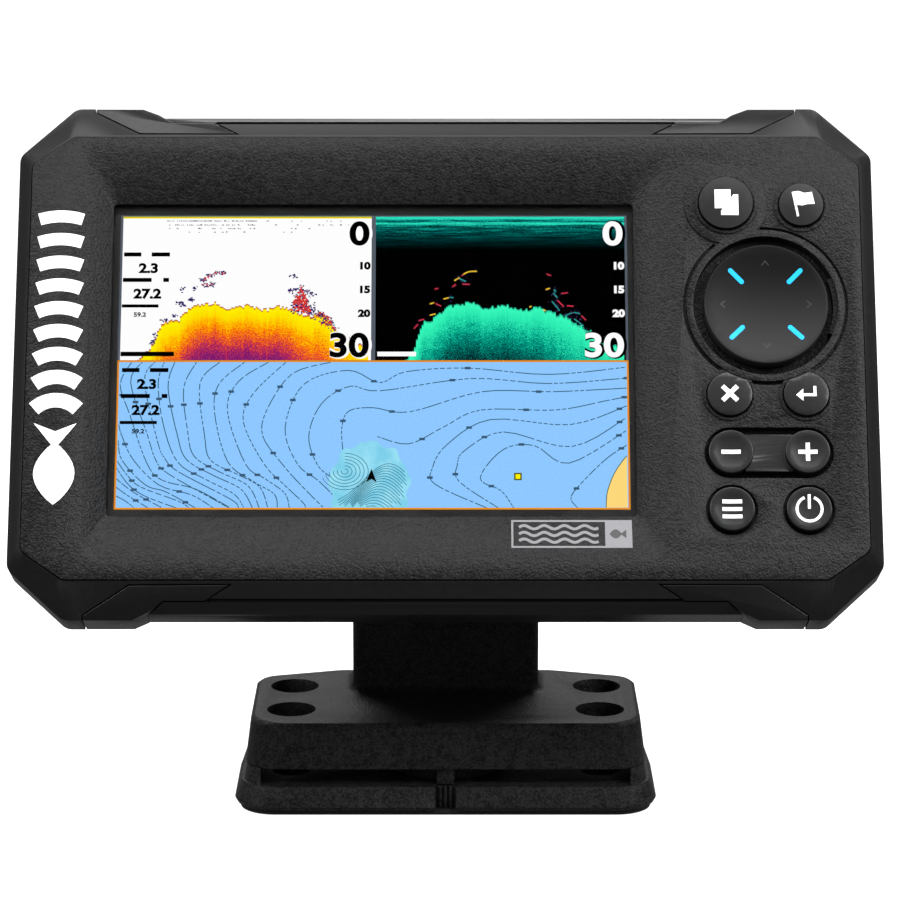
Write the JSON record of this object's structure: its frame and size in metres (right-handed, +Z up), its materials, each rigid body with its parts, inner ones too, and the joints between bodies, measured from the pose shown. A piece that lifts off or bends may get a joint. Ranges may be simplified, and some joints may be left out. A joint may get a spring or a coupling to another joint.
{
  "type": "fish finder",
  "caption": "Wide display head with a keypad beside the screen, on a quick-release cradle with a tilt hinge, column and swivel base.",
  "frame": {"origin": "middle of the mount footprint on the surface it stands on, on the swivel axis", "axes": "+Z up along the swivel axis, +X to the right as seen from the display side, -Y towards the viewer"},
  "size_m": [0.1824, 0.0812, 0.1514],
  "materials": {
    "bezel_plastic": "fine spark-eroded texture, near black",
    "frame_plastic": "satin near-black plastic",
    "insert_plastic": "smooth satin black",
    "housing_plastic": "fine textured black",
    "mount_plastic": "fine textured black",
    "key_rubber": "satin charcoal, white legends",
    "mat_rubber": "matt black",
    "foot_rubber": "matt black",
    "clear_window": "clear, low reflection",
    "display": "lit colour display",
    "light_pipe": "cyan lit",
    "board": "green solder mask",
    "component": "black mould compound",
    "steel": "stainless",
    "brass": "plain",
    "gold_contact": "gold plated",
    "acetal": "natural",
    "flex": "amber film",
    "ceramic": "fired ceramic",
    "pressed_metal": "plain"
  },
  "bodies": {
    "base": {"foot_pad": "foot_rubber", "base_plate": "mount_plastic", "swivel_bolt": "steel", "wave_washer": "steel", "swivel_washer": "acetal"},
    "pedestal": {"pedestal": "mount_plastic", "swivel_insert": "brass", "friction_washers": "acetal"},
    "cradle": {"cradle": "mount_plastic", "tilt_bolt": "steel", "tilt_nut": "steel", "lever_pin": "steel", "lever_spring": "steel"},
    "release_lever": {"release_lever": "insert_plastic"},
    "head": {"front_bezel": "bezel_plastic", "main_frame": "frame_plastic", "insert_top_left": "insert_plastic", "insert_top_right": "insert_plastic", "insert_bottom_left": "insert_plastic", "insert_bottom_right": "insert_plastic", "window_seal": "mat_rubber", "display_window": "clear_window", "lcd_panel": "display", "lcd_tray": "pressed_metal", "lcd_flex": "flex", "keypad_mat": "mat_rubber", "key_board": "board", "key_flex": "flex", "main_board": "board", "board_chips": "component", "shield_can": "pressed_metal", "gps_antenna": "ceramic", "beeper": "component", "card_reader": "pressed_metal", "board_screws": "steel", "rear_housing": "housing_plastic", "housing_seal": "mat_rubber", "case_screws": "steel", "vent_plug": "insert_plastic", "door_pin": "steel", "connector_barrel": "insert_plastic", "contact_insert": "component", "connector_pins": "gold_contact", "connector_nut": "insert_plastic", "dock_rail_plate": "mount_plastic", "dock_screws": "steel"},
    "card_door": {"card_door": "insert_plastic"},
    "pages_key": {"pages_key": "key_rubber"},
    "waypoint_key": {"waypoint_key": "key_rubber"},
    "exit_key": {"exit_key": "key_rubber"},
    "enter_key": {"enter_key": "key_rubber"},
    "menu_key": {"menu_key": "key_rubber"},
    "power_key": {"power_key": "key_rubber"},
    "zoom_rocker": {"zoom_rocker": "key_rubber"},
    "dpad_actuator": {"dpad_actuator": "acetal"},
    "dpad": {"dpad": "key_rubber", "dpad_light_bars": "light_pipe"}
  },
  "joints": [
    {"name": "swivel", "type": "hinge", "parent": "base", "child": "pedestal", "pos_m": [0, 0, 0], "axis": [0, 0, 1], "range_deg": [-60, 60]},
    {"name": "tilt", "type": "hinge", "parent": "pedestal", "child": "cradle", "pos_m": [0, 0.0177, 0.0743], "axis": [-1, 0, 0], "range_deg": [-28, 32]},
    {"name": "head_release", "type": "slide", "parent": "cradle", "child": "head", "axis": [0, 0.4695, 0.8829], "range_m": [0, 0.055]},
    {"name": "lever_press", "type": "hinge", "parent": "cradle", "child": "release_lever", "pos_m": [0, 0.02106, 0.09403], "axis": [-1, 0, 0], "range_deg": [0, 8], "stiffness_Nm_per_rad": 0.06, "springref_deg": -8.59},
    {"name": "card_door_hinge", "type": "hinge", "parent": "head", "child": "card_door", "pos_m": [-0.0606, 0.0018, 0.08955], "axis": [0, 0.4695, 0.8829], "range_deg": [0, 95]},
    {"name": "pages_press", "type": "slide", "parent": "head", "child": "pages_key", "axis": [0, 0.8829, -0.4695], "range_m": [0, 0.0007], "stiffness_N_per_m": 600, "springref_m": -0.001},
    {"name": "waypoint_press", "type": "slide", "parent": "head", "child": "waypoint_key", "axis": [0, 0.8829, -0.4695], "range_m": [0, 0.0007], "stiffness_N_per_m": 600, "springref_m": -0.001},
    {"name": "exit_press", "type": "slide", "parent": "head", "child": "exit_key", "axis": [0, 0.8829, -0.4695], "range_m": [0, 0.0007], "stiffness_N_per_m": 600, "springref_m": -0.001},
    {"name": "enter_press", "type": "slide", "parent": "head", "child": "enter_key", "axis": [0, 0.8829, -0.4695], "range_m": [0, 0.0007], "stiffness_N_per_m": 600, "springref_m": -0.001},
    {"name": "menu_press", "type": "slide", "parent": "head", "child": "menu_key", "axis": [0, 0.8829, -0.4695], "range_m": [0, 0.0007], "stiffness_N_per_m": 600, "springref_m": -0.001},
    {"name": "power_press", "type": "slide", "parent": "head", "child": "power_key", "axis": [0, 0.8829, -0.4695], "range_m": [0, 0.0007], "stiffness_N_per_m": 600, "springref_m": -0.001},
    {"name": "zoom_rock", "type": "hinge", "parent": "head", "child": "zoom_rocker", "pos_m": [0.0675, -0.03279, 0.08371], "axis": [0, 0.4695, 0.8829], "range_deg": [-3, 3], "stiffness_Nm_per_rad": 0.3},
    {"name": "dpad_up_down", "type": "hinge", "parent": "head", "child": "dpad_actuator", "pos_m": [0.0675, -0.01543, 0.11083], "axis": [1, 0, 0], "range_deg": [-3.5, 3.5], "stiffness_Nm_per_rad": 0.3},
    {"name": "dpad_left_right", "type": "hinge", "parent": "dpad_actuator", "child": "dpad", "pos_m": [0.0675, -0.01543, 0.11083], "axis": [0, 0.4695, 0.8829], "range_deg": [-3.5, 3.5], "stiffness_Nm_per_rad": 0.3}
  ]
}
